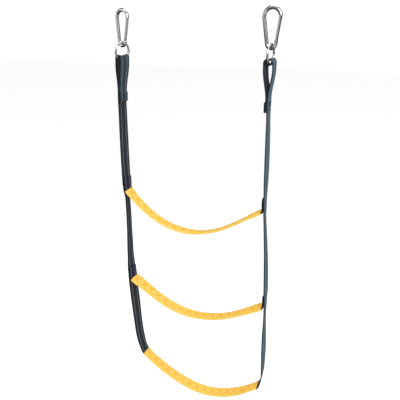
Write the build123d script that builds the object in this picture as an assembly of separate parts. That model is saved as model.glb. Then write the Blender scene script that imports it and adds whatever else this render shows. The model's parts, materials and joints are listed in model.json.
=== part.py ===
from build123d import *
import os
from math import acos, atan2, cos, degrees, hypot, radians, sin

# Escape ladder of flat webbing with three sagging treads, hung from two snap hooks.
# Millimetres. The origin is inside the left hook's crown, where the hook bears on what it is
# clipped over. +X runs to the right hook, +Y away from the front, +Z up.

# Driving dimensions
anchor_span = 410.0       # between the two hooking points
hook_length = 100.0       # overall
hook_width = 50.0         # overall, at the crown
hook_wire = 9.5
lower_bend = 11.0         # centreline radius of the hook's narrow end
ring_wire = 6.0
ring_inside = 40.0        # inner diameter
webbing_width = 35.0
webbing_thickness = 3.0
sleeve_width = 40.0
sleeve_thickness = 5.6
sleeve_wall = 1.0
turns = {"left": -15.0, "right": -3.0}       # hooks and rings are turned this far about Z
loop_turns = {"left": -11.0, "right": 3.0}   # and the straps' loops this far
leans = {"left": 5.0, "right": 0.9}          # hooks, rings and loops hang out of plumb, about Y

# Hook, in its own plane: X across, Y through, Z up, origin inside the crown
wire_r = hook_wire / 2
crown_r = hook_width / 2 - wire_r
crown_z = wire_r - crown_r
bottom_z = wire_r * 3 - hook_length     # centre of the wire at the bottom of the hook
lower_z = bottom_z + lower_bend
nose_angle = 7.0                        # the nose ends this far above the crown's centre
nose_x = crown_r * cos(radians(nose_angle))
nose_z = crown_z + crown_r * sin(radians(nose_angle))
gate_lean = degrees(acos(lower_bend / hypot(nose_x, nose_z - lower_z)) - atan2(nose_z - lower_z, nose_x))
gate_x, gate_z = sin(radians(gate_lean)), cos(radians(gate_lean))
bend_end = (lower_bend * gate_z, 0, lower_z - lower_bend * gate_x)
hinge_rise = 7.0                        # hinge pin above the end of the lower bend
hinge = (bend_end[0] + hinge_rise * gate_x, 0, bend_end[2] + hinge_rise * gate_z)
nose_reach = (nose_x - hinge[0]) * gate_x + (nose_z - hinge[2]) * gate_z

# Gate and latch
gate_r = 4.0
shoulder_gap = 4.8        # hinge pin to the end of the round wire
tang_r = 4.0
tang_flat = 3.3           # flat on top of the tang, which the plunger rests on
plate = 3.0               # tang and tongue thickness
slot = 3.5                # slots in the gate's two ends
hinge_pin_r = 1.47
hinge_hole_r = 1.5
latch_pin_r = 1.25
latch_hole_r = 1.27
latch_drop = 5.0          # latch pin below the nose
notch_r = 1.5
notch_deep = 0.2          # middle of the notch's round end, past the tongue's own middle
tongue_length = 7.2
tongue_half = 3.7
tongue_slot = 8.5         # the gate's upper slot, below its top
fork_depth = 5.6          # the gate's lower slot above the hinge pin
bore_r = 2.2
bore_end = 27.6
plunger_head_z = 6.4
spring_wire = 0.5
spring_r = 1.65
spring_turns = 7
gate_room = 0.5           # between the gate's top and the nose
cut_half = 6.5            # half of the blocks that cut across the wire or the gate

# Ring and strap loop, in the hook's plane
ring_gap = 0.8
weld_proud = 0.35
weld_angle = -8
ring_r = ring_inside / 2 + ring_wire / 2
ring_z = bottom_z + wire_r + ring_wire / 2 + ring_gap - ring_r
loop_rise = 7.8           # underside of the loop below the ring's centre
loop_halves = {"left": 7.5, "right": 10.2}   # half a loop's width to the middle of the webbing
loop_belly = -142.0       # the loop is still nearly as wide here
belly_share = 0.95
layer_half = 1.6          # half the distance between the two sewn layers
tack_top, tack_bottom = -209.0, -234.0

# Side straps: middle of the webbing as (x, z), from the tack down to the bottom tread
left_line = [(-20.4, -232), (-23.4, -320), (-26.6, -470), (-27.5, -590), (-32, -725),
             (-31.5, -800), (-25.5, -900), (-19.5, -1005), (-9.5, -1066), (-1, -1091)]
right_line = [(407.9, -232), (408.8, -310), (408.4, -420), (408.2, -515), (412.3, -585), (417.4, -693),
              (418.8, -760), (418.2, -860), (419, -985), (417.9, -1038), (415, -1066), (406.5, -1091.5)]

# Treads: height of the left and the right end, and where the webbing sags between them, as (x, z)
tread_ends = [(-499.4, -502.7), (-805.4, -800.5), (-1090.5, -1091)]
tread_sags = [
    [(37.5, -558.3), (98.7, -592.4), (160, -605.5), (221, -600.8), (282.5, -578.2), (343.7, -541.8)],
    [(35.4, -842.8), (98.7, -875.9), (162, -891), (225.4, -888.5), (288.7, -871), (352, -839)],
    [(58.4, -1132.2), (116.7, -1161.2), (175, -1179.2), (233.4, -1181.9), (291.8, -1167.1), (350, -1136.6)],
]
end_gap = 4.0             # from a tread's fold line to its sleeve
fold_gap = 2.5            # from the fold line up to the sewn end
sewn_length = 36.0
layer_pitch = 3.15        # middle of the strap to the middle of the sewn end
thread = 0.8
thread_clear = 0.05       # from the webbing's face to its sewing
seam_length = 29.0
end_rows = (8, 20, 32)    # rows of sewing above a tread's corner
loop_rows = (3, 11, 19)   # rows of sewing below the top of the tack


def place(side, shape, turn=None):
    """Put a piece made in the hook's own plane at the left or right anchor."""
    x = 0 if side == "left" else anchor_span
    return Pos(x, 0, 0) * Rot(0, leans[side], 0) * Rot(0, 0, turns[side] if turn is None else turn) * shape


def on_gate(shape):
    """Put a piece made along the gate, with its hinge pin at zero, into the hook's plane."""
    return Pos(*hinge) * Rot(0, gate_lean, 0) * shape


def across(radius, length):
    """A round bar along Y."""
    return Rot(90, 0, 0) * Cylinder(radius, length)


def between(low, high):
    """A box from one corner to the other."""
    size = [b - a for a, b in zip(low, high)]
    middle = [(a + b) / 2 for a, b in zip(low, high)]
    return Pos(*middle) * Box(*size)


def upright(radius, low, high):
    """A round bar along Z."""
    return Pos(0, 0, (low + high) / 2) * Cylinder(radius, high - low)


def hook_body():
    side_x, side_z = crown_r - lower_bend, crown_z - lower_z
    reach = hypot(side_x, side_z)
    nx, nz = (reach**2 - side_x**2) ** 0.5 / reach, side_x / reach
    low_left = (-lower_bend * nx, 0, lower_z - lower_bend * nz)
    high_left = (-crown_r * nx, 0, crown_z - crown_r * nz)
    start = (hinge[0] - shoulder_gap * gate_x, 0, hinge[2] - shoulder_gap * gate_z)
    past_nose = radians(nose_angle - 5)
    finish = (crown_r * cos(past_nose), 0, crown_z + crown_r * sin(past_nose))
    path = Wire([
        Line(start, bend_end),
        ThreePointArc(bend_end, (0, 0, bottom_z), low_left),
        Line(low_left, high_left),
        ThreePointArc(high_left, (0, 0, wire_r), finish),
    ])
    body = sweep(Plane(origin=start, z_dir=path % 0) * Circle(wire_r), path=path)
    body -= on_gate(between((-cut_half, -cut_half, nose_reach - 8), (cut_half, cut_half, nose_reach)))
    tongue = between((-tongue_half, -plate / 2, nose_reach - tongue_length),
                     (tongue_half, plate / 2, nose_reach + 2))
    notch_z = nose_reach - latch_drop
    tongue -= between((-cut_half, -plate, notch_z - notch_r), (notch_deep, plate, notch_z + notch_r))
    tongue -= Pos(notch_deep, 0, notch_z) * across(notch_r, plate * 2)
    tang = between((-tang_r, -plate / 2, -shoulder_gap - 2), (tang_r, plate / 2, 0))
    tang += across(tang_r, plate)
    tang -= between((-cut_half, -plate, tang_flat), (cut_half, plate, 8))
    tang -= across(hinge_hole_r, plate * 2)
    return body + on_gate(tongue) + on_gate(tang)


def gate_bar():
    top = nose_reach - gate_room
    bar = upright(gate_r, 0, top) + (upright(gate_r, -gate_r, 0) & across(gate_r, gate_r * 2))
    bar -= between((-cut_half, -slot / 2, -cut_half), (cut_half, slot / 2, fork_depth))
    bar -= between((-cut_half, -slot / 2, top - tongue_slot), (cut_half, slot / 2, top + 1))
    bar -= upright(bore_r, fork_depth - 0.5, bore_end)
    bar -= across(hinge_hole_r, gate_r * 3)
    bar -= Pos(0, 0, nose_reach - latch_drop) * across(latch_hole_r, gate_r * 3)
    return on_gate(bar)


def hinge_pin():
    pin = across(hinge_pin_r, gate_r * 2 + 0.8)
    return on_gate(fillet(pin.edges().filter_by(GeomType.CIRCLE), 0.35))


def latch_pin():
    return on_gate(Pos(0, 0, nose_reach - latch_drop) * across(latch_pin_r, gate_r * 2 - 0.3))


def plunger():
    stem = upright(plate / 2, tang_flat + 0.15, plunger_head_z + 0.5)
    return on_gate(stem + upright(bore_r - 0.2, plunger_head_z, plunger_head_z + 4))


def gate_spring():
    low, high = plunger_head_z + 4.35, bore_end - 0.35
    coil = Helix(pitch=(high - low) / spring_turns, height=high - low, radius=spring_r)
    section = Plane(origin=coil @ 0, z_dir=coil % 0) * Circle(spring_wire / 2)
    return on_gate(Pos(0, 0, low) * sweep(section, path=coil, is_frenet=True))


def ring():
    weld = Rot(weld_angle, 0, 0) * Pos(0, ring_r, 0) * Sphere(ring_wire / 2 + weld_proud)
    return Pos(0, 0, ring_z) * (Rot(0, 90, 0) * Torus(ring_r, ring_wire / 2) + weld)


def ribbon(curve, thickness, width, first=0.0, last=1.0, shift=0.0, samples=24):
    """Webbing of the given section along a curve in the XZ plane, shifted off it to one side."""
    upper, lower = [], []
    for i in range(samples + 1):
        t = first + (last - first) * i / samples
        point, along = curve @ t, curve % t
        normal = Vector(-along.Z, 0, along.X)
        upper.append(point + normal * (shift + thickness / 2))
        lower.append(point + normal * (shift - thickness / 2))
    outline = [Spline(upper), Line(upper[-1], lower[-1]), Spline(lower), Line(lower[0], upper[0])]
    return extrude(Face(Wire(outline)), width / 2, dir=(0, 1, 0), both=True)


def loop_curve(side):
    """The folded top of a strap, from its sewn tail over the ring and down the outer side."""
    inner, loop_half = inward(side), loop_halves[side]
    top = ring_z - loop_rise + webbing_thickness / 2
    spring_line = top - loop_half
    up, down = (0, 0, 1), (0, 0, -1)
    belly = inner * loop_half * belly_share
    tail, tail_top = (inner * layer_half, 0, tack_bottom), (inner * layer_half, 0, tack_top)
    near, far = (inner * loop_half, 0, spring_line), (-inner * loop_half, 0, spring_line)
    out_top, out = (-inner * layer_half, 0, tack_top), (-inner * layer_half, 0, tack_bottom)
    return Wire([
        Line(tail, tail_top),
        Spline(tail_top, (belly, 0, loop_belly), near, tangents=[up, up]),
        ThreePointArc(near, (0, 0, top), far),
        Spline(far, (-belly, 0, loop_belly), out_top, tangents=[down, down]),
        Line(out_top, out),
    ])


def rail_curve(side):
    points = left_line if side == "left" else right_line
    return Spline([(x, 0, z) for x, z in points])


def at_height(curve, height):
    """Where a curve that runs downwards passes a height, from 0 to 1."""
    low, high = 0.0, 1.0
    for _ in range(40):
        middle = (low + high) / 2
        if (curve @ middle).Z > height:
            low = middle
        else:
            high = middle
    return low


def inward(side):
    return 1 if side == "left" else -1


def strap_loop(side):
    """The folded and sewn top of a side strap."""
    loop = ribbon(loop_curve(side), webbing_thickness, webbing_width, samples=72)
    return place(side, loop, loop_turns[side])


def side_strap(side):
    """The strap below its loop, which it meets at the end of the sewing."""
    curve = rail_curve(side)
    last = at_height(curve, tread_ends[2][side == "right"] + fold_gap)
    above = place(side, between((-hook_width, -hook_width, tack_bottom), (hook_width, hook_width, 0)))
    return ribbon(curve, webbing_thickness, webbing_width, last=last) - above


def fold_point(side, number):
    """Where a tread meets a strap: on the sewn end's middle, or the strap's own for the lowest."""
    curve = rail_curve(side)
    t = at_height(curve, tread_ends[number][side == "right"])
    point, along = curve @ t, curve % t
    step = layer_pitch * inward(side) if number < 2 else 0
    return point + Vector(-along.Z, 0, along.X) * step


def tread_curve(number):
    sag = [Vector(x, 0, z) for x, z in tread_sags[number]]
    return Spline([fold_point("left", number)] + sag + [fold_point("right", number)])


def tread_webbing(number):
    curve = tread_curve(number)
    trim = end_gap / curve.length
    return ribbon(curve, webbing_thickness, webbing_width, trim, 1 - trim)


def tread_sleeve(number):
    curve = tread_curve(number)
    trim = end_gap / curve.length
    outside = ribbon(curve, sleeve_thickness, sleeve_width, trim, 1 - trim)
    wall = 2 * sleeve_wall
    return outside - ribbon(curve, sleeve_thickness - wall, sleeve_width - wall, trim / 2, 1 - trim / 2)


def sewn_end(side, number):
    curve = rail_curve(side)
    corner = tread_ends[number][side == "right"]
    low, high = at_height(curve, corner + fold_gap), at_height(curve, corner + fold_gap + sewn_length)
    return ribbon(curve, webbing_thickness, webbing_width, high, low, layer_pitch * inward(side), 6)


def seam(point, normal):
    """One row of sewing across the webbing, lying on a face."""
    return Plane(origin=point, x_dir=(0, 1, 0), z_dir=normal) * Box(seam_length, thread, thread)


def sewn_end_stitching(side, number):
    curve = rail_curve(side)
    corner = tread_ends[number][side == "right"]
    rows = []
    for rise in end_rows:
        t = at_height(curve, corner + rise)
        point, along = curve @ t, curve % t
        normal = Vector(-along.Z, 0, along.X) * inward(side)
        clear = (webbing_thickness + thread) / 2 + thread_clear
        rows.append(seam(point + normal * (layer_pitch + clear), normal))
        rows.append(seam(point - normal * clear, normal))
    return Compound(children=rows)


def loop_stitching(side):
    clear = layer_half + (webbing_thickness + thread) / 2 + thread_clear
    rows = []
    for drop in loop_rows:
        for face in (-1, 1):
            rows.append(seam((face * clear, 0, tack_top - drop), (face, 0, 0)))
    return place(side, Compound(children=rows), loop_turns[side])


def pieces():
    """Every node of the ladder, by name."""
    nodes = {}
    for side in ("left", "right"):
        nodes[side + "_hook_body"] = place(side, hook_body())
        nodes[side + "_gate"] = place(side, gate_bar())
        nodes[side + "_hinge_pin"] = place(side, hinge_pin())
        nodes[side + "_latch_pin"] = place(side, latch_pin())
        nodes[side + "_plunger"] = place(side, plunger())
        nodes[side + "_gate_spring"] = place(side, gate_spring())
        nodes[side + "_ring"] = place(side, ring())
        nodes[side + "_strap_loop"] = strap_loop(side)
        nodes[side + "_side_strap"] = side_strap(side)
        nodes[side + "_loop_stitching"] = loop_stitching(side)
        for number in (0, 1):
            name = f"tread_{number + 1}_{side}_"
            nodes[name + "sewn_end"] = sewn_end(side, number)
            nodes[name + "stitching"] = sewn_end_stitching(side, number)
    for number in range(3):
        name = f"tread_{number + 1}_" if number < 2 else "bottom_tread_"
        nodes[name + "webbing"] = tread_webbing(number)
        nodes[name + "sleeve"] = tread_sleeve(number)
    return nodes


def main():
    os.makedirs("parts", exist_ok=True)
    for name, shape in pieces().items():
        export_step(shape, f"parts/{name}.step")
    for number in range(3):
        print("tread", number + 1, "length", round(tread_curve(number).length, 1))


main()
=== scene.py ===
import json
import math

import bpy
from mathutils import Matrix, Vector


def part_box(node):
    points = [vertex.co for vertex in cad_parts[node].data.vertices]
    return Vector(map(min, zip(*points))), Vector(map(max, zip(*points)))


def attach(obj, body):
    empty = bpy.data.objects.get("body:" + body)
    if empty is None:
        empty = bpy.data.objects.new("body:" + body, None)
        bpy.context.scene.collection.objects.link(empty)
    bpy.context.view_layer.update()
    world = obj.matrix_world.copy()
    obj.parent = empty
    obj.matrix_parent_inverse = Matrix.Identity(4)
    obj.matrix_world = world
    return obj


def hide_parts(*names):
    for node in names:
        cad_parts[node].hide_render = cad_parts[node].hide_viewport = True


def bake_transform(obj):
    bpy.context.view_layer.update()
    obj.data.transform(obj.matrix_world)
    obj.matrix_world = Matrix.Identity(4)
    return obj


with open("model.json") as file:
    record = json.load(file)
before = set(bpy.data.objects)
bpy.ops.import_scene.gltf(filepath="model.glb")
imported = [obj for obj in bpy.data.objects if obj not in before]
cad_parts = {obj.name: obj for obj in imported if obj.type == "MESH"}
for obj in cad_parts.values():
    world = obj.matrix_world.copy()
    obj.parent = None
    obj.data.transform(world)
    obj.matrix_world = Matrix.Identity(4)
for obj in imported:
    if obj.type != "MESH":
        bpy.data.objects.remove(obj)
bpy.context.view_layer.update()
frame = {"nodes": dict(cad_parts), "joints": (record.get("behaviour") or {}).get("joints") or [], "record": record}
nodes = frame["nodes"]
joints = {joint["name"]: joint for joint in frame["joints"]}
mounts = {mount["name"]: Vector(mount["pos_m"]) for mount in frame["record"]["mounts"]}
print("frame loaded:", len(nodes), "nodes")


def meshPiece(name, points, faces, material, lay=None):
    mesh = bpy.data.meshes.new(name)
    mesh.from_pydata([tuple(p) for p in points], [], faces)
    mesh.materials.append(material)
    if lay:  # where each point lies on its webbing: across, along, through, in metres
        layer = mesh.attributes.new("lay", "FLOAT_VECTOR", "POINT")
        layer.data.foreach_set("vector", [value for row in lay for value in row])
    mesh.polygons.foreach_set("use_smooth", [True] * len(mesh.polygons))
    mesh.validate()
    mesh.update()
    piece = bpy.data.objects.new(name, mesh)
    bpy.context.scene.collection.objects.link(piece)
    return piece


def cutAt(node, axis, value):
    # lowest and highest place, on the other axis of the ladder's plane, where a plane cuts the node
    other = 0 if axis == 2 else 2
    mesh = nodes[node].data
    found = []
    for edge in mesh.edges:
        a, b = (mesh.vertices[i].co for i in edge.vertices)
        if (a[axis] - value) * (b[axis] - value) < 0:
            share = (value - a[axis]) / (b[axis] - a[axis])
            found.append(a[other] + (b[other] - a[other]) * share)
    return min(found), max(found)


def evenly(points, step):
    # the same line with points a fixed distance apart
    lengths = [0.0]
    for a, b in zip(points, points[1:]):
        lengths.append(lengths[-1] + (b - a).length)
    count = max(2, round(lengths[-1] / step))
    made, k = [], 0
    for i in range(count + 1):
        want = lengths[-1] * i / count
        while k < len(points) - 2 and lengths[k + 1] < want:
            k += 1
        share = (want - lengths[k]) / max(1e-9, lengths[k + 1] - lengths[k])
        made.append(points[k].lerp(points[k + 1], min(1.0, share)))
    return made


def relaxed(points, rounds, start=0, end=None):
    # rounds off corners between two points of the line
    points = list(points)
    end = len(points) if end is None else end
    for _ in range(rounds):
        before = list(points)
        for i in range(max(1, start), min(len(points) - 1, end)):
            points[i] = before[i - 1] * 0.25 + before[i] * 0.5 + before[i + 1] * 0.25
    return points


def smoothStep(low, high, value):
    t = min(1.0, max(0.0, (value - low) / (high - low)))
    return t * t * (3 - 2 * t)


class Band:
    # a strip of webbing along a line: its middle, its width direction and its distance along
    def __init__(self, points, widths):
        self.points = points
        self.run = [0.0]
        for a, b in zip(points, points[1:]):
            self.run.append(self.run[-1] + (b - a).length)
        self.across, self.through = [], []
        for i, point in enumerate(points):
            ahead = (points[min(i + 1, len(points) - 1)] - points[max(i - 1, 0)]).normalized()
            wide = widths[i] - ahead * widths[i].dot(ahead)
            self.across.append(wide.normalized())
            self.through.append(self.across[-1].cross(ahead).normalized())

    def at(self, along):
        along = min(max(along, 0.0), self.run[-1])
        k = 0
        while k < len(self.run) - 2 and self.run[k + 1] < along:
            k += 1
        share = (along - self.run[k]) / max(1e-9, self.run[k + 1] - self.run[k])
        return [rows[k].lerp(rows[k + 1], share) for rows in (self.points, self.across, self.through)]


def sweepBand(name, band, section, material, shape=None, inner=None, faceSign=1):
    # section is a closed ring of (across, through); shape may change a point by where it lies
    rings = [section] if inner is None else [section, inner]
    points, lay, faces = [], [], []
    count, stations = len(section), len(band.points)
    for ring in rings:
        for i in range(stations):
            for across, through in ring:
                a, t = (across, through) if shape is None else shape(band.run[i], across, through)
                points.append(band.points[i] + band.across[i] * a + band.through[i] * t)
                lay.append((across, band.run[i], through * faceSign))

    def quads(offset, flip):
        for i in range(stations - 1):
            for j in range(count):
                a = offset + i * count + j
                b = offset + i * count + (j + 1) % count
                quad = (a, b, b + count, a + count)
                faces.append(quad[::-1] if flip else quad)

    quads(0, False)
    last = (stations - 1) * count
    if inner is None:
        faces.append(tuple(range(count))[::-1])
        faces.append(tuple(range(last, last + count)))
    else:
        shift = stations * count
        quads(shift, True)
        for j in range(count):
            k = (j + 1) % count
            faces.append((j, j + shift, k + shift, k))
            faces.append((last + j, last + k, last + k + shift, last + j + shift))
    return meshPiece(name, points, faces, material, lay)


def newMaterial(name, roughness=0.5, metallic=0.0, **sockets):
    material = bpy.data.materials.new(name)
    material.use_nodes = True
    shader = material.node_tree.nodes["Principled BSDF"]
    shader.inputs["Roughness"].default_value = roughness
    shader.inputs["Metallic"].default_value = metallic
    for socket, value in sockets.items():
        shader.inputs[socket.replace("_", " ")].default_value = value
    return material, material.node_tree, shader


def addNode(tree, kind, inputs=None, **settings):
    made = tree.nodes.new(kind)
    for key, value in settings.items():
        setattr(made, key, value)
    for key, value in (inputs or {}).items():
        if isinstance(value, bpy.types.NodeSocket):
            tree.links.new(value, made.inputs[key])
        else:
            made.inputs[key].default_value = value
    return made


def calc(tree, operation, a, b=0.0, c=0.0, clamp=False):
    made = addNode(tree, "ShaderNodeMath", {0: a, 1: b, 2: c}, operation=operation, use_clamp=clamp)
    return made.outputs[0]


def blendColour(tree, share, low, high):
    made = addNode(tree, "ShaderNodeMix", data_type="RGBA")
    for socket, value in ((made.inputs[0], share), (made.inputs[6], low), (made.inputs[7], high)):
        if isinstance(value, bpy.types.NodeSocket):
            tree.links.new(value, socket)
        else:
            socket.default_value = value
    return made.outputs[2]


def noiseAt(tree, vector, scale, detail=3.0):
    made = addNode(tree, "ShaderNodeTexNoise", {"Vector": vector, "Scale": scale, "Detail": detail})
    return made.outputs["Fac"]


def layOut(tree):
    # across, along and through of the point on its webbing
    lay = addNode(tree, "ShaderNodeAttribute", attribute_name="lay").outputs["Vector"]
    parts = addNode(tree, "ShaderNodeSeparateXYZ", {0: lay})
    return lay, parts.outputs[0], parts.outputs[1], parts.outputs[2]


def bumpInto(tree, shader, height, distance, strength=1.0):
    bump = addNode(tree, "ShaderNodeBump", {"Height": height, "Distance": distance, "Strength": strength})
    tree.links.new(bump.outputs[0], shader.inputs["Normal"])


steel = {
    # tone, roughness and depth of the fine scratches of each finish
    "hookSteel": ((0.70, 0.715, 0.73), 0.12, 0.3),
    "ringSteel": ((0.76, 0.77, 0.78), 0.13, 0.3),
    "pinSteel": ((0.55, 0.55, 0.54), 0.28, 0.6),
    "springSteel": ((0.42, 0.42, 0.43), 0.35, 0.8),
    "cloudScale": 90.0, "scratchScale": 900.0,
    "dullShare": 0.86,                         # how dark the dull patches are, against the tone
    "smoothest": 0.7, "roughest": 1.6,         # roughness varies between these shares
    "bumpDistance": 0.0001, "bumpStrength": 0.06,
}


def polishedSteel(name):
    tone, roughness, scratch = steel[name]
    material, tree, shader = newMaterial(name, roughness, 1.0)
    place = addNode(tree, "ShaderNodeTexCoord").outputs["Object"]
    cloud = noiseAt(tree, place, steel["cloudScale"])
    fine = noiseAt(tree, place, steel["scratchScale"], 2.0)
    dull = tuple(c * steel["dullShare"] for c in tone) + (1.0,)
    tree.links.new(blendColour(tree, cloud, dull, tone + (1.0,)), shader.inputs["Base Color"])
    uneven = addNode(tree, "ShaderNodeMapRange", {"Value": cloud, 3: roughness * steel["smoothest"],
                                                  4: roughness * steel["roughest"]})
    tree.links.new(uneven.outputs[0], shader.inputs["Roughness"])
    height = calc(tree, "MULTIPLY_ADD", cloud, 0.6, calc(tree, "MULTIPLY", fine, scratch))
    bumpInto(tree, shader, height, steel["bumpDistance"], steel["bumpStrength"])
    return material


webbing = {
    "width": 0.036, "thickness": 0.0032,
    "ribPlace": 0.0086, "ribWidth": 0.0019, "ribHeight": 0.00035, "ribPitch": 0.0042,
    "weavePitch": 0.0017, "warpPitch": 0.75,   # the warp's pitch is a share of the weave's
    "slant": 1.3,                              # how steeply the yarns run across
    # the edge band and its near black colour are painted shade on the webbing's edges
    "edgeShadeBand": 0.0028, "edgeShadeSharpness": 420.0, "faceSharpness": 4000.0,
    "ribColour": (0.19, 0.21, 0.24, 1), "edgeShade": (0.006, 0.008, 0.010, 1),
    "backColour": (0.008, 0.010, 0.013, 1), "backWorn": (0.026, 0.030, 0.036, 1),
    "faceColour": (0.018, 0.034, 0.045, 1), "faceWorn": (0.055, 0.085, 0.104, 1),
    # painted light and shade: how light the back and the face are painted on each cloth, the right strap as lit
    # from the right, the left strap's face as shaded, the sewn ends darker
    "leftStrapShadedCloth": (1.0, 0.6), "rightStrapLitCloth": (1.5, 1.25), "endCloth": (0.55, 0.4),
    "roughness": 0.72, "sheen": 0.035, "sheenRoughness": 0.45, "sheenColour": (0.7, 0.88, 1.0, 1),
    "gloss": 0.06, "cloudScale": 55.0, "fuzzScale": 1400.0,
    "bumpDistance": 0.0005, "bumpStrength": 0.8,
}


def webbingMaterial(name):
    w = webbing
    backToneAndLight, faceToneAndLight = w[name]
    material, tree, shader = newMaterial(name, w["roughness"], Sheen_Weight=w["sheen"] * backToneAndLight,
                                         Sheen_Roughness=w["sheenRoughness"],
                                         Sheen_Tint=w["sheenColour"], Specular_IOR_Level=w["gloss"])
    lay, across, along, through = layOut(tree)
    wide = calc(tree, "ABSOLUTE", across)
    # twill: slanting yarns that turn round at the middle of the width
    slant = calc(tree, "MULTIPLY_ADD", wide, w["slant"], along)
    yarn = calc(tree, "SINE", calc(tree, "MULTIPLY", slant, math.tau / w["weavePitch"]))
    warpTurn = math.tau / (w["weavePitch"] * w["warpPitch"])
    warp = calc(tree, "SINE", calc(tree, "MULTIPLY", across, warpTurn))
    weave = calc(tree, "MULTIPLY", calc(tree, "ADD", calc(tree, "MULTIPLY", yarn, 0.55), 1.0),
                 calc(tree, "MULTIPLY_ADD", warp, 0.35, 0.65))
    # two raised ribs, stitched along the webbing
    ribGap = calc(tree, "ABSOLUTE", calc(tree, "SUBTRACT", wide, w["ribPlace"]))
    rib = calc(tree, "SUBTRACT", 1.0, calc(tree, "DIVIDE", ribGap, w["ribWidth"]), clamp=True)
    ribWave = calc(tree, "SINE", calc(tree, "MULTIPLY", along, math.tau / w["ribPitch"]))
    ribStitch = calc(tree, "MULTIPLY_ADD", ribWave, 0.35, 0.65)
    # painted shade: a band round each edge of the webbing is painted near black, for the edge face in shade
    fromShadedEdge = calc(tree, "SUBTRACT", wide, w["width"] / 2 - w["edgeShadeBand"])
    edge = calc(tree, "MULTIPLY", fromShadedEdge, w["edgeShadeSharpness"], clamp=True)
    cloud = noiseAt(tree, lay, w["cloudScale"])
    fuzz = noiseAt(tree, lay, w["fuzzScale"], 2.0)
    tone = calc(tree, "MULTIPLY_ADD", weave, 0.45, calc(tree, "MULTIPLY", cloud, 0.55))
    shades = []
    # painted light and shade: each cloth's shades are lightened or darkened by its shares, making lit and shaded
    # copies of one webbing
    for key, lift in (("backColour", backToneAndLight), ("backWorn", backToneAndLight),
                      ("faceColour", faceToneAndLight), ("faceWorn", faceToneAndLight)):
        shades.append([c * lift for c in w[key][:3]] + [1.0])
    onFace = calc(tree, "MULTIPLY_ADD", through, w["faceSharpness"], 0.5, clamp=True)
    colour = blendColour(tree, onFace, blendColour(tree, tone, shades[0], shades[1]),
                         blendColour(tree, tone, shades[2], shades[3]))
    colour = blendColour(tree, calc(tree, "MULTIPLY", rib, ribStitch), colour, w["ribColour"])
    # painted shade on the webbing's edges
    colour = blendColour(tree, calc(tree, "MULTIPLY", edge, 0.8), colour, w["edgeShade"])
    tree.links.new(colour, shader.inputs["Base Color"])
    rough = addNode(tree, "ShaderNodeMapRange", {"Value": weave, 3: 0.85, 4: 0.6})
    tree.links.new(rough.outputs[0], shader.inputs["Roughness"])
    height = calc(tree, "ADD", calc(tree, "MULTIPLY", weave, 0.5), calc(tree, "MULTIPLY", fuzz, 0.35))
    bumpInto(tree, shader, height, w["bumpDistance"], w["bumpStrength"])
    return material


sleeve = {
    "width": 0.0404, "thickness": 0.0064, "wall": 0.0010,
    "cell": 0.0285,                            # length of one diamond
    "puff": 0.0008, "scallop": 0.0011,         # how far the diamonds swell and the edges draw in
    "startLeft": 0.003, "startRight": 0.0038,  # bare webbing at the ends
    "step": 0.001, "roundings": 24,
    # grooveShade is painted shade for the lattice's grooves
    # puffLight is painted light on the puffed diamonds
    "yellow": (0.72, 0.42, 0.028, 1), "puffLight": (0.76, 0.48, 0.13, 1), "grooveShade": (0.60, 0.27, 0.010, 1),
    # the olive line colour is painted shade along the sleeve's thin edges
    "spot": (0.80, 0.31, 0.04, 1), "seam": (0.40, 0.36, 0.09, 1),
    "seamPlace": 0.0172, "seamWidth": 0.0016,
    "roughness": 0.45, "coat": 0.1, "coatRoughness": 0.35, "gloss": 0.3,
    "cloudScale": 60.0, "grainScale": 1100.0, "bumpDistance": 0.0004, "bumpStrength": 0.6,
}


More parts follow.
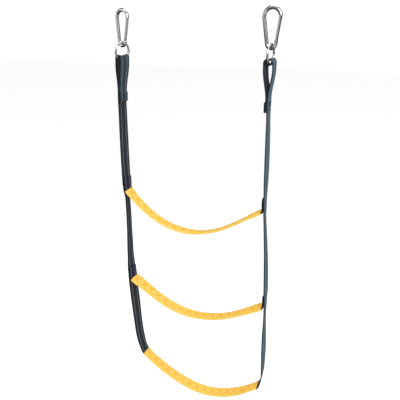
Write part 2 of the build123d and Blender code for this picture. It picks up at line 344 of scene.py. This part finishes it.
def sleeveMaterial():
    s = sleeve
    material, tree, shader = newMaterial("coatedYellow", s["roughness"], Coat_Weight=s["coat"],
                                         Coat_Roughness=s["coatRoughness"],
                                         Specular_IOR_Level=s["gloss"])
    lay, across, along, through = layOut(tree)
    row = calc(tree, "DIVIDE", along, s["cell"])
    side = calc(tree, "DIVIDE", across, s["width"])

    def lineShare(sign):
        # 0 on a slanting line of the lattice, 1 midway between two
        turn = calc(tree, "ADD", calc(tree, "MULTIPLY_ADD", side, sign, row), 0.5)
        return calc(tree, "ABSOLUTE", calc(tree, "SINE", calc(tree, "MULTIPLY", turn, math.pi)))

    both = calc(tree, "MINIMUM", lineShare(1.0), lineShare(-1.0))
    pillow = calc(tree, "POWER", both, 0.6)
    groove = calc(tree, "SUBTRACT", 1.0, calc(tree, "MULTIPLY", both, 4.5), clamp=True)
    cloud = noiseAt(tree, lay, s["cloudScale"])
    cells = addNode(tree, "ShaderNodeTexVoronoi", {"Vector": lay, "Scale": s["grainScale"]})
    # painted light: the middle of each puffed diamond is painted paler, broken up by random cloud
    puffLightShare = calc(tree, "MULTIPLY", pillow, calc(tree, "MULTIPLY_ADD", cloud, 0.9, 0.15), clamp=True)
    colour = blendColour(tree, puffLightShare, s["yellow"], s["puffLight"])
    # an orange spot where the lines cross on the middle of the width
    spotRow = calc(tree, "ABSOLUTE", calc(tree, "SINE", calc(tree, "MULTIPLY", row, math.pi)))
    fromMiddle = calc(tree, "MULTIPLY", calc(tree, "ABSOLUTE", side), 4.5)
    spotMiddle = calc(tree, "SUBTRACT", 1.0, fromMiddle, clamp=True)
    spot = calc(tree, "MULTIPLY", calc(tree, "POWER", spotRow, 6.0), spotMiddle)
    colour = blendColour(tree, calc(tree, "MULTIPLY", spot, 0.7), colour, s["spot"])
    # painted shade: the grooves between the puffed diamonds are painted a deeper orange
    colour = blendColour(tree, calc(tree, "MULTIPLY", groove, 0.6), colour, s["grooveShade"])
    # painted shade: a dark olive line inside each edge, along the sleeve's thin side seams
    wide = calc(tree, "ABSOLUTE", across)
    seamGap = calc(tree, "ABSOLUTE", calc(tree, "SUBTRACT", wide, s["seamPlace"]))
    seam = calc(tree, "SUBTRACT", 1.0, calc(tree, "DIVIDE", seamGap, s["seamWidth"]), clamp=True)
    colour = blendColour(tree, calc(tree, "MULTIPLY", seam, 0.7), colour, s["seam"])
    tree.links.new(colour, shader.inputs["Base Color"])
    rough = addNode(tree, "ShaderNodeMapRange", {"Value": cloud, 3: 0.3, 4: 0.5})
    tree.links.new(rough.outputs[0], shader.inputs["Roughness"])
    grain = calc(tree, "ADD", calc(tree, "MULTIPLY", cells.outputs["Distance"], 0.3),
                 calc(tree, "MULTIPLY", groove, -0.5))
    bumpInto(tree, shader, grain, s["bumpDistance"], s["bumpStrength"])
    return material


thread = {
    # darkest and lightest tone of each thread
    "loopThread": ((0.003, 0.003, 0.008, 1), (0.010, 0.009, 0.024, 1)),
    "endThread": ((0.04, 0.04, 0.13, 1), (0.13, 0.12, 0.30, 1)),
    "plyPitch": 0.0006, "roughness": 0.6, "gloss": 0.15, "bumpDistance": 0.0001, "bumpStrength": 0.7,
}


def threadMaterial(name):
    low, high = thread[name]
    material, tree, shader = newMaterial(name, thread["roughness"], Specular_IOR_Level=thread["gloss"])
    lay, across, along, through = layOut(tree)
    slant = calc(tree, "ADD", across, along)
    ply = calc(tree, "SINE", calc(tree, "MULTIPLY", slant, math.tau / thread["plyPitch"]))
    colour = blendColour(tree, calc(tree, "MULTIPLY_ADD", ply, 0.5, 0.5), low, high)
    tree.links.new(colour, shader.inputs["Base Color"])
    bumpInto(tree, shader, ply, thread["bumpDistance"], thread["bumpStrength"])
    return material


hookSteel = polishedSteel("hookSteel")
ringSteel = polishedSteel("ringSteel")
pinSteel = polishedSteel("pinSteel")
springSteel = polishedSteel("springSteel")
# the right strap's cloth is a lit copy and the left strap's cloth a shaded copy of the same webbing
strapCloth = {
    "left": webbingMaterial("leftStrapShadedCloth"),
    "right": webbingMaterial("rightStrapLitCloth"),
}
endCloth = webbingMaterial("endCloth")
sleeveSkin = sleeveMaterial()
loopThread = threadMaterial("loopThread")
endThread = threadMaterial("endThread")
print("materials made")

finishes = (("hook_body", hookSteel), ("gate", hookSteel), ("ring", ringSteel), ("hinge_pin", pinSteel),
            ("latch_pin", pinSteel), ("plunger", pinSteel), ("gate_spring", springSteel))
for name, node in nodes.items():
    for ending, material in finishes:
        if name.endswith(ending):
            for materialSlot in node.material_slots:
                materialSlot.material = material


def webbingSection(steps=28, edgeTurn=0.7):
    # flat with two ribs on each face, and rounded edges
    half, edge = webbing["width"] / 2, webbing["thickness"] / 2
    flat = half - edge
    face = []
    for i in range(steps + 1):
        across = -flat + 2 * flat * i / steps
        gap = (abs(across) - webbing["ribPlace"]) / webbing["ribWidth"]
        face.append((across, edge + webbing["ribHeight"] * math.exp(-gap * gap)))
    turnEdge = []
    for a in (edgeTurn, math.pi / 2, math.pi - edgeTurn):
        turnEdge.append((flat + edge * math.sin(a), edge * math.cos(a)))
    back = [(-a, -t) for a, t in face]
    turnBack = [(-a, -t) for a, t in turnEdge]
    return (face + turnEdge + back + turnBack)[::-1]


hang = {
    # heights and half widths of the loop are in metres from the anchor, and lean with the hook
    "lean": {"left": 5.0, "right": 0.9},             # degrees
    "ringDrop": -0.1010, "loopRise": 0.0095,
    "loopHalf": {"left": 0.0082, "right": 0.0106},   # half the eye's width
    "limbTurn": {"left": 0.0, "right": 3.0},         # degrees the loop's two limbs are turned apart
    "layerHalf": 0.0017,                             # half the distance between two sewn layers
    "tackTop": -0.209, "tailEnd": -0.2365, "hemTop": -0.2135, "hemOut": 0.0031,
    "eyeFullness": 1.18, "eyePower": 1.1,            # how soon the eye opens above the sewing
    "saddle": 0.0036, "saddleLength": 0.012,
    "railTop": -0.242, "railStep": 0.008, "railRows": 200,   # where the strap's middle is read
    "railEnd": 0.012,                                # the rail stops this far above its fold
    "step": 0.0016,                                  # distance between the webbing's own points
    "foldRounds": 40, "foldPoints": 18,              # how softly the strap turns into a tread
}

# how far each strap is turned about its own length, in degrees, at each height
twist = {
    "left": [
        (-0.110, -13), (-0.135, -12), (-0.205, -4.5), (-0.268, -6), (-0.356, -8.2), (-0.480, -9),
        (-0.499, -3), (-0.525, 12), (-0.620, 9.5), (-0.718, 3), (-0.775, -7), (-0.847, -14.8),
        (-0.885, -17.5), (-0.982, -12), (-1.038, -10.5), (-1.066, -4), (-1.091, -1),
    ],
    "right": [
        (-0.110, -2.5), (-0.137, 1), (-0.205, 1.5), (-0.263, 3.5), (-0.294, 0.8), (-0.341, -1.2),
        (-0.400, -0.9), (-0.480, 5.5), (-0.530, 8.5), (-0.606, 4.5), (-0.693, -0.2), (-0.738, -1.2),
        (-0.800, 6.5), (-0.833, 7.5), (-0.907, -0.2), (-0.957, -3.5), (-1.010, 0.5), (-1.066, 7.8),
        (-1.096, 9.5),
    ],
}


def valueAt(rows, place):
    # a value between the rows, which run from one end of the piece to the other
    if (place - rows[0][0]) * (rows[-1][0] - rows[0][0]) <= 0:
        return rows[0][1]
    for (a, low), (b, high) in zip(rows, rows[1:]):
        if (place - a) * (place - b) <= 0:
            return low + (high - low) * smoothStep(0, 1, (place - a) / (b - a))
    return rows[-1][1]


def turnedWidth(side, height, extra=0.0):
    angle = math.radians(valueAt(twist[side], height) + extra)
    return Vector((-math.sin(angle), math.cos(angle), 0))


def loopPoints(side, hemSteps=10, bendSteps=8, limbSteps=40, archSteps=24):
    # from the tail's end up over the ring and down the outer side: (across the hook's plane, height)
    h = hang
    inner = 1 if side == "left" else -1
    half = h["loopHalf"][side]
    top = h["ringDrop"] - h["loopRise"] + webbing["thickness"] / 2
    shoulder = top - half
    # the tail's end is turned under before it is sewn down
    low, high, inside, outside = h["tailEnd"], h["hemTop"], h["layerHalf"], h["layerHalf"] + h["hemOut"]
    bend = h["hemOut"] / 2
    points = []
    for i in range(hemSteps + 1):
        points.append((inner * inside, high - (high - low - bend) * i / hemSteps))
    for i in range(1, bendSteps):
        a = math.pi * i / bendSteps
        points.append((inner * (inside + bend - bend * math.cos(a)), low + bend - bend * math.sin(a)))
    for i in range(hemSteps + 1):
        points.append((inner * outside, low + bend + (high - low - bend) * i / hemSteps))
    hem = len(points)
    for i in range(limbSteps + 1):
        t = i / limbSteps
        share = smoothStep(0.0, 1.0, min(1.0, t * h["eyeFullness"])) ** h["eyePower"]
        points.append((inner * (inside + (half - inside) * share),
                       h["tackTop"] + (shoulder - h["tackTop"]) * t))
    for i in range(1, archSteps):
        a = math.pi * i / archSteps
        points.append((inner * half * math.cos(a), shoulder + half * math.sin(a)))
    # the outer limb mirrors the inner one
    outer = [(-x, z) for x, z in points[hem + limbSteps:hem - 1:-1]]
    return points + outer + [(-inner * inside, low)]


def loopBand(side):
    # the loop's middle line and its width directions, hung at the anchor and turned with the webbing
    lean = Matrix.Rotation(math.radians(hang["lean"][side]), 3, "Y")
    line, widths = [], []
    for x, z in loopPoints(side):
        spread = hang["limbTurn"][side] * x / hang["loopHalf"][side]
        width = turnedWidth(side, z, spread)
        place = Vector((width.y, -width.x, 0)) * x + Vector((0, 0, z))
        line.append(mounts[side + "_anchor"] + lean @ place)
        widths.append(lean @ width)
    return line, widths


def railLine(side, low):
    # the strap's own middle, read from the frame, from just under the sewing down to a height
    heights = [hang["railTop"] - hang["railStep"] * i for i in range(hang["railRows"])]
    return [Vector((sum(cutAt(side + "_side_strap", 2, z)) / 2, 0, z)) for z in heights if z > low]


treadNames = ("tread_1", "tread_2", "bottom_tread")
treads = {
    "steps": 34,
    "foldGap": 0.0025, "sliver": 0.0006,   # the fold lies this far below the piece it comes from
    "foldClear": 0.012,                    # the middle is read from the frame between these ends
    "foldReach": 0.03,                     # a tread takes up the fold's own direction over this length
    "tuckShare": 0.29,                     # how far the right ends reach into their sleeves
    # how far each tread is tipped about its own line, in degrees, by its share of the way to the right
    "tip": [
        [(0, -3), (0.2, -6.5), (0.4, -6), (0.6, -10), (0.8, -5), (1, 3.8)],
        [(0, 9.4), (0.2, 0.2), (0.4, -1.5), (0.6, -2.5), (0.8, -0.8), (1, 10.6)],
        [(0, -6.3), (0.2, -3.3), (0.4, -0.9), (0.6, 1.7), (0.8, 4.7), (1, -1.5)],
    ],
}


def treadLine(number):
    # the tread's middle from fold to fold
    t = treads
    name = treadNames[number]
    left = Vector(joints[name + "_level"]["pos_m"])
    if number < 2:
        end = name + "_right_sewn_end"
    else:
        end = "right_side_strap"
    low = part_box(end)[0].z
    right = Vector((sum(cutAt(end, 2, low + t["sliver"])) / 2, 0, low - t["foldGap"]))
    middle = []
    for i in range(1, t["steps"]):
        x = left.x + t["foldClear"] + (right.x - left.x - 2 * t["foldClear"]) * i / t["steps"]
        middle.append(Vector((x, 0, sum(cutAt(name + "_webbing", 0, x)) / 2)))
    return [left] + middle + [right]


treadLines = [treadLine(number) for number in range(3)]


def treadWidths(number, line):
    left, right = treadLines[number][0], treadLines[number][-1]
    widths = []
    for i, point in enumerate(line):
        ahead = (line[min(i + 1, len(line) - 1)] - line[max(i - 1, 0)]).normalized()
        share = (point.x - left.x) / (right.x - left.x)
        angle = math.radians(valueAt(treads["tip"][number], share))
        width = Vector((0, math.cos(angle), 0)) + Vector((-ahead.z, 0, ahead.x)) * math.sin(angle)
        for side, end in (("left", left), ("right", right)):
            near = 1 - smoothStep(0, treads["foldReach"], (point - end).length)
            width = width.lerp(turnedWidth(side, end.z), near)
        widths.append(width)
    return widths


def intoTread(number, side):
    # webbing from the left runs the whole tread, and from the right it is only tucked into the sleeve
    line = treadLines[number]
    if side == "left":
        return line[:-1]
    return [line[-1], line[-1].lerp(line[-2], treads["tuckShare"])]


def joined(upper, upperWidths, lower, number, rounds, reach):
    # webbing that comes down a strap, folds and runs on into a tread, with the fold rounded off
    line = evenly(upper + lower, hang["step"])
    fold = lower[0]
    corner = min(range(len(line)), key=lambda i: (line[i] - fold).length)
    line = relaxed(line, rounds, corner - reach, corner + reach)
    widths = []
    along = treadWidths(number, line)
    for i, point in enumerate(line):
        if i > corner:
            widths.append(along[i])
        else:
            close = min(range(len(upper)), key=lambda k: (upper[k] - point).length)
            widths.append(upperWidths[close])
    return line, relaxed(widths, 3)   # a little smoothing, so the turn at the fold is not sudden


def strapBand(side):
    # the whole strap: tail, loop, sewn layers and rail, and on the left the bottom tread's webbing too
    loop, loopWidths = loopBand(side)
    railPoints = railLine(side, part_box(side + "_side_strap")[0].z + hang["railEnd"])
    upper = loop + railPoints
    upperWidths = loopWidths + [turnedWidth(side, p.z) for p in railPoints]
    meet = len(loop)
    upper = relaxed(upper, 4, meet - 2, meet + 4)
    return Band(*joined(upper, upperWidths, intoTread(2, side), 2, hang["foldRounds"], hang["foldPoints"]))


def saddleShape(band):
    # over the ring the webbing dips along its middle, because the ring's wire is curved
    top = max(range(len(band.points)), key=lambda i: band.points[i].z)
    crown = band.run[top]
    dip = -hang["saddle"] if band.through[top].z > 0 else hang["saddle"]

    def shape(along, across, through):
        near = math.exp(-((along - crown) / hang["saddleLength"]) ** 2)
        share = 2 * across / webbing["width"]
        return across, through + dip * near * (1 - share * share)

    return shape


straps = {}
section = webbingSection()
for side in ("left", "right"):
    band = strapBand(side)
    straps[side] = band
    piece = sweepBand(side + "StrapWebbing", band, section, strapCloth[side], saddleShape(band),
                      faceSign=1 if side == "left" else -1)
    if side == "left":
        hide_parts("left_strap_loop", "left_side_strap", "bottom_tread_webbing")
        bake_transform(piece)
    else:
        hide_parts("right_strap_loop", "right_side_strap")
        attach(piece, "right_strap")
print("side straps made")


sewnEnd = {
    "rows": 8, "sliver": 0.0006,
    "bow": {"left": 0.0, "right": 0.0014},   # how far an end stands off its strap in the middle
    "bowStart": 0.15, "bowShare": 0.7,       # the part of a half wave that the bow takes up
    "foldRounds": 18, "foldPoints": 9,
    "reach": Vector((0.004, 0, -0.006)),     # a left end bends into its tread over this reach
}


def endBand(number, side):
    # a tread's turned-up end: down the strap's inner face, round the fold and into the sleeve
    e = sewnEnd
    name = f"{treadNames[number]}_{side}_sewn_end"
    low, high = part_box(name)
    tab, widths = [], []
    for i in range(e["rows"] + 1):
        z = high.z - e["sliver"] - (high.z - low.z - 2 * e["sliver"]) * i / e["rows"]
        strapMiddle = sum(cutAt(side + "_side_strap", 2, z)) / 2
        out = sum(cutAt(name, 2, z)) / 2 - strapMiddle
        bulge = math.sin(math.pi * (e["bowStart"] + e["bowShare"] * i / e["rows"]))
        out += math.copysign(e["bow"][side] * bulge, out)
        width = turnedWidth(side, z)
        tab.append(Vector((strapMiddle, 0, z)) + Vector((width.y, -width.x, 0)) * out)
        widths.append(width)
    return Band(*joined(tab, widths, intoTread(number, side), number, e["foldRounds"], e["foldPoints"]))


ends = {}
for number in range(2):
    for side in ("left", "right"):
        band = endBand(number, side)
        ends[number, side] = band
        piece = sweepBand(f"tread{number + 1}{side.capitalize()}End", band, section, endCloth)
        body = treadNames[number]
        if side == "left":
            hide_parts(body + "_left_sewn_end", body + "_webbing")
            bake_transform(piece)
        else:
            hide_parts(body + "_right_sewn_end")
            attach(piece, "right_strap")
print("sewn ends made")


def sleeveSection(width, thickness, steps=26):
    # flat tube: full in the middle, pressed thin at its two edges
    half = width / 2
    ring = []
    for sign in (1, -1):
        for i in range(steps):
            across = sign * half * math.cos(math.pi * i / steps)
            thin = (1 - (abs(across) / half) ** 5) ** 0.5
            ring.append((across, -sign * thickness / 2 * max(thin, 0.0)))
    return ring


def sleeveShape(along, across, through):
    s = sleeve
    row, side = along / s["cell"], across / s["width"]
    one = abs(math.sin(math.pi * (row + side + 0.5)))
    two = abs(math.sin(math.pi * (row - side + 0.5)))
    puff = s["puff"] * min(one, two) ** 0.55
    notch = math.cos(math.pi * row) ** 8 * s["scallop"]
    share = abs(across) / (s["width"] / 2)
    return (across - math.copysign(notch * share ** 4, across),
            through + math.copysign(puff * (1 - share ** 6), through))


def makeSleeve(number, name):
    s = sleeve
    line = relaxed(evenly(treadLines[number], s["step"]), s["roundings"])
    first, last = round(s["startLeft"] / s["step"]), len(line) - round(s["startRight"] / s["step"])
    line = line[first:last]
    band = Band(line, treadWidths(number, line))
    outside = sleeveSection(s["width"], s["thickness"])
    inside = sleeveSection(s["width"] - 2 * s["wall"], s["thickness"] - 2 * s["wall"])
    piece = sweepBand(name, band, outside, sleeveSkin, sleeveShape, inside)
    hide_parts(treadNames[number] + "_sleeve")
    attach(piece, treadNames[number])


makeSleeve(0, "tread1Sleeve")
makeSleeve(1, "tread2Sleeve")
makeSleeve(2, "bottomTreadSleeve")
print("sleeves made")


stitch = {
    "length": 0.0036, "gap": 0.0009, "width": 0.0012, "height": 0.0007,
    "rings": 6, "around": 8,
    "startShare": 0.12, "endShare": 0.88,      # the part of its pitch that a stitch fills
    "blunt": 0.06, "fullness": 0.6,            # how thick its ends are, and how soon it thickens
    "arch": 0.35, "lift": 0.0001,              # lift is how far the stitches stand off the webbing
}


def addStitch(a, b, outward, points, faces, lay):
    # one short thread from a to b, fat in the middle and pulled in at its ends
    ahead = (b - a).normalized()
    sideways = ahead.cross(outward).normalized()
    base = len(points)
    rings, around = stitch["rings"], stitch["around"]
    for i in range(rings + 1):
        t = i / rings
        fat = math.sin(math.pi * (stitch["blunt"] + (1 - 2 * stitch["blunt"]) * t)) ** stitch["fullness"]
        centre = a.lerp(b, t) + outward * stitch["height"] * stitch["arch"] * math.sin(math.pi * t)
        for j in range(around):
            angle = math.tau * j / around
            points.append(centre + sideways * math.cos(angle) * stitch["width"] / 2 * fat
                          + outward * math.sin(angle) * stitch["height"] / 2 * fat)
            lay.append((math.cos(angle) * stitch["width"] / 2, t * stitch["length"], 0.0))
    for i in range(rings):
        for j in range(around):
            p, q = base + i * around + j, base + i * around + (j + 1) % around
            faces.append((p, q, q + around, p + around))
    faces.append(tuple(base + j for j in range(around))[::-1])
    faces.append(tuple(base + rings * around + j for j in range(around)))


def stitchRuns(name, material, runs):
    # each run is a row of separate stitches on a band, from one (across, along) to another
    points, faces, lay = [], [], []
    for band, (acrossA, alongA), (acrossB, alongB), lift in runs:
        length = math.hypot(acrossB - acrossA, alongB - alongA)
        count = max(1, round(length / (stitch["length"] + stitch["gap"])))
        for k in range(count):
            spots = []
            for part in (stitch["startShare"], stitch["endShare"]):
                share = (k + part) / count
                across = acrossA + (acrossB - acrossA) * share
                point, wide, out = band.at(alongA + (alongB - alongA) * share)
                spots.append((point + wide * across + out * lift, out * (1 if lift > 0 else -1)))
            addStitch(spots[0][0], spots[1][0], spots[0][1], points, faces, lay)
    return meshPiece(name, points, faces, material, lay)


seams = {
    "half": 0.0135,                                # half the width that is sewn
    "loopRows": {"left": (-0.2165, -0.2255, -0.2340), "right": (-0.2135, -0.2215, -0.2300)},
    "rowGap": 0.0014,                              # each row at a loop is two lines of stitches
    "endLow": 0.004, "endMiddle": 0.018, "endHigh": 0.0325,   # along a sewn end, from its top
    "hemPoints": 40, "tailPoints": 80,             # the tail's points on the strap's line
    "outerStart": 0.1,                             # the outer limb is further along than this
}


def boxRuns(band, low, high, lift):
    # a sewn rectangle with a cross in it
    h = seams["half"]
    corners = [(-h, low), (h, low), (h, high), (-h, high)]
    runs = [(band, corners[i], corners[(i + 1) % 4], lift) for i in range(4)]
    return runs + [(band, corners[0], corners[2], lift), (band, corners[1], corners[3], lift)]


def nearest(band, point):
    k = min(range(len(band.points)), key=lambda i: (band.points[i] - point).length)
    return band.run[k]


def loopRuns(side):
    # rows on the tail's outward face, and the same rows on the strap's own outer face
    band = straps[side]
    lift = webbing["thickness"] / 2 + stitch["lift"]
    inward = 1 if side == "left" else -1
    turnUnder = min(range(seams["hemPoints"]), key=lambda i: band.points[i].z)
    outer = [i for i in range(len(band.points)) if band.run[i] > seams["outerStart"]]
    runs = []
    for height in seams["loopRows"][side]:
        tail = min(range(turnUnder, seams["tailPoints"]), key=lambda i: abs(band.points[i].z - height))
        strap = min(outer, key=lambda i: (band.points[i] - band.points[tail]).length)
        for k, facing in ((tail, inward), (strap, -inward)):
            away = 1 if band.through[k].x * facing > 0 else -1
            for shift in (-seams["rowGap"] / 2, seams["rowGap"] / 2):
                along = band.run[k] + shift
                runs.append((band, (-seams["half"], along), (seams["half"], along), lift * away))
    return runs


def endRuns(number, side):
    # a crossed box on the sewn end's inner face, and the same on the strap's outer face
    band, end = straps[side], ends[number, side]
    lift = webbing["thickness"] / 2 + stitch["lift"]
    inward = 1 if side == "left" else -1
    away = 1 if end.at(seams["endMiddle"])[2].x * inward > 0 else -1
    runs = boxRuns(end, seams["endLow"], seams["endHigh"], lift * away)
    low = nearest(band, end.at(seams["endLow"])[0])
    high = nearest(band, end.at(seams["endHigh"])[0])
    away = -1 if band.at(low)[2].x * inward > 0 else 1
    return runs + boxRuns(band, low, high, lift * away)


def sewOn(piece, node, side):
    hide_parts(node)
    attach(piece, side + "_strap")


for side in ("left", "right"):
    sewOn(stitchRuns(side + "LoopSewing", loopThread, loopRuns(side)), side + "_loop_stitching", side)
    for number in range(2):
        piece = stitchRuns(f"tread{number + 1}{side.capitalize()}Sewing", endThread, endRuns(number, side))
        sewOn(piece, f"{treadNames[number]}_{side}_stitching", side)
print("sewing made")


room = {
    "floorHeight": -1.9, "floorSize": 30.0, "paper": (0.93, 0.93, 0.93, 1),
    "paperGrain": 3.0, "paperShade": 0.985, "skyPower": 1.1,
    # what the steel mirrors: a dark room with one light side and a dark back wall
    "lightSide": (0.75, -0.35, 0.56), "lightFade": (-0.5, 0.85), "mirrorDark": 0.06, "mirrorLight": 0.92,
    "backSide": (-0.42, 0.9, -0.1), "backFade": (0.15, 0.8), "mirrorBehind": 0.08, "panels": 7.0,
    "aim": (0.2, 0, -0.5),
    # place, size and power of each light
    "keyLight": ((2.2, -2.2, 1.6), (1.6, 2.2), 70),
    "fillLight": ((-2.4, -1.6, 0.6), (1.5, 2.0), 15),
    "topLight": ((0.2, 0.6, 2.4), (2.0, 2.0), 30),
}


def makeFloor():
    half = room["floorSize"] / 2
    material, tree, shader = newMaterial("palePaper", 0.8)
    place = addNode(tree, "ShaderNodeTexCoord").outputs["Object"]
    grain = noiseAt(tree, place, room["paperGrain"])
    low = tuple(c * room["paperShade"] for c in room["paper"][:3]) + (1.0,)
    tree.links.new(blendColour(tree, grain, low, room["paper"]), shader.inputs["Base Color"])
    z = room["floorHeight"]
    floor = meshPiece("floor", [(-half, -half, z), (half, -half, z), (half, half, z), (-half, half, z)],
                      [(0, 1, 2, 3)], material)
    floor.visible_glossy = False


def makeLight(name):
    place, size, power = room[name]
    light = bpy.data.lights.new(name, "AREA")
    light.shape = "RECTANGLE"
    light.size, light.size_y = size
    light.energy = power
    lamp = bpy.data.objects.new(name, light)
    lamp.location = place
    lamp.rotation_mode = "QUATERNION"
    lamp.rotation_quaternion = (Vector(room["aim"]) - Vector(place)).to_track_quat("-Z", "Y")
    bpy.context.scene.collection.objects.link(lamp)


def makeWorld():
    # white all round for the eye and the cloth, and for the steel a dark room with one light side
    world = bpy.data.worlds.new("studio")
    bpy.context.scene.world = world
    world.use_nodes = True
    tree = world.node_tree
    plain = tree.nodes["Background"]
    plain.inputs[0].default_value = (1.0, 1.0, 1.0, 1)
    plain.inputs[1].default_value = room["skyPower"]
    aim = addNode(tree, "ShaderNodeTexCoord").outputs["Generated"]
    toLight = addNode(tree, "ShaderNodeVectorMath", {0: aim, 1: room["lightSide"]},
                      operation="DOT_PRODUCT").outputs["Value"]
    start, end = room["lightFade"]
    side = addNode(tree, "ShaderNodeMapRange", {"Value": toLight, 1: start, 2: end,
                                                3: room["mirrorDark"], 4: room["mirrorLight"]})
    bands = calc(tree, "SINE", calc(tree, "MULTIPLY", toLight, room["panels"]))
    toBack = addNode(tree, "ShaderNodeVectorMath", {0: aim, 1: room["backSide"]},
                     operation="DOT_PRODUCT").outputs["Value"]
    start, end = room["backFade"]
    behind = addNode(tree, "ShaderNodeMapRange", {"Value": toBack, 1: start, 2: end,
                                                  3: 1.0, 4: room["mirrorBehind"]})
    panels = calc(tree, "MULTIPLY", calc(tree, "MULTIPLY", side.outputs[0], behind.outputs[0]),
                  calc(tree, "MULTIPLY_ADD", bands, 0.6, 0.75))
    mirrored = addNode(tree, "ShaderNodeBackground", {0: (1.0, 1.0, 1.0, 1), 1: panels})
    glossy = addNode(tree, "ShaderNodeLightPath").outputs["Is Glossy Ray"]
    both = addNode(tree, "ShaderNodeMixShader", {0: glossy, 1: plain.outputs[0], 2: mirrored.outputs[0]})
    tree.links.new(both.outputs[0], tree.nodes["World Output"].inputs["Surface"])


view = {
    "place": (0.7575, -1.16, 0.003), "heading": 25.007, "tilt": 21.473, "roll": 0.992,
    "lens": 43.65, "sensor": 36.0, "near": 0.02, "far": 200.0,
}


def makeCamera():
    heading, tilt, roll = (math.radians(view[key]) for key in ("heading", "tilt", "roll"))
    ahead = Vector((-math.sin(heading) * math.cos(tilt), math.cos(heading) * math.cos(tilt),
                    -math.sin(tilt)))
    right = Vector((math.cos(heading), math.sin(heading), 0))
    up = right.cross(ahead)
    rightTurned = right * math.cos(roll) - up * math.sin(roll)
    upTurned = right * math.sin(roll) + up * math.cos(roll)
    lens = bpy.data.cameras.new("camera")
    lens.lens, lens.sensor_width = view["lens"], view["sensor"]
    lens.clip_start, lens.clip_end = view["near"], view["far"]
    eye = bpy.data.objects.new("camera", lens)
    turn = Matrix((rightTurned, upTurned, -ahead)).transposed().to_4x4()
    eye.matrix_world = Matrix.Translation(view["place"]) @ turn
    bpy.context.scene.collection.objects.link(eye)
    bpy.context.scene.camera = eye


makeFloor()
makeWorld()
for name in ("keyLight", "fillLight", "topLight"):
    makeLight(name)
makeCamera()
bpy.context.scene.view_settings.view_transform = "Standard"
print("room, lights and camera made")
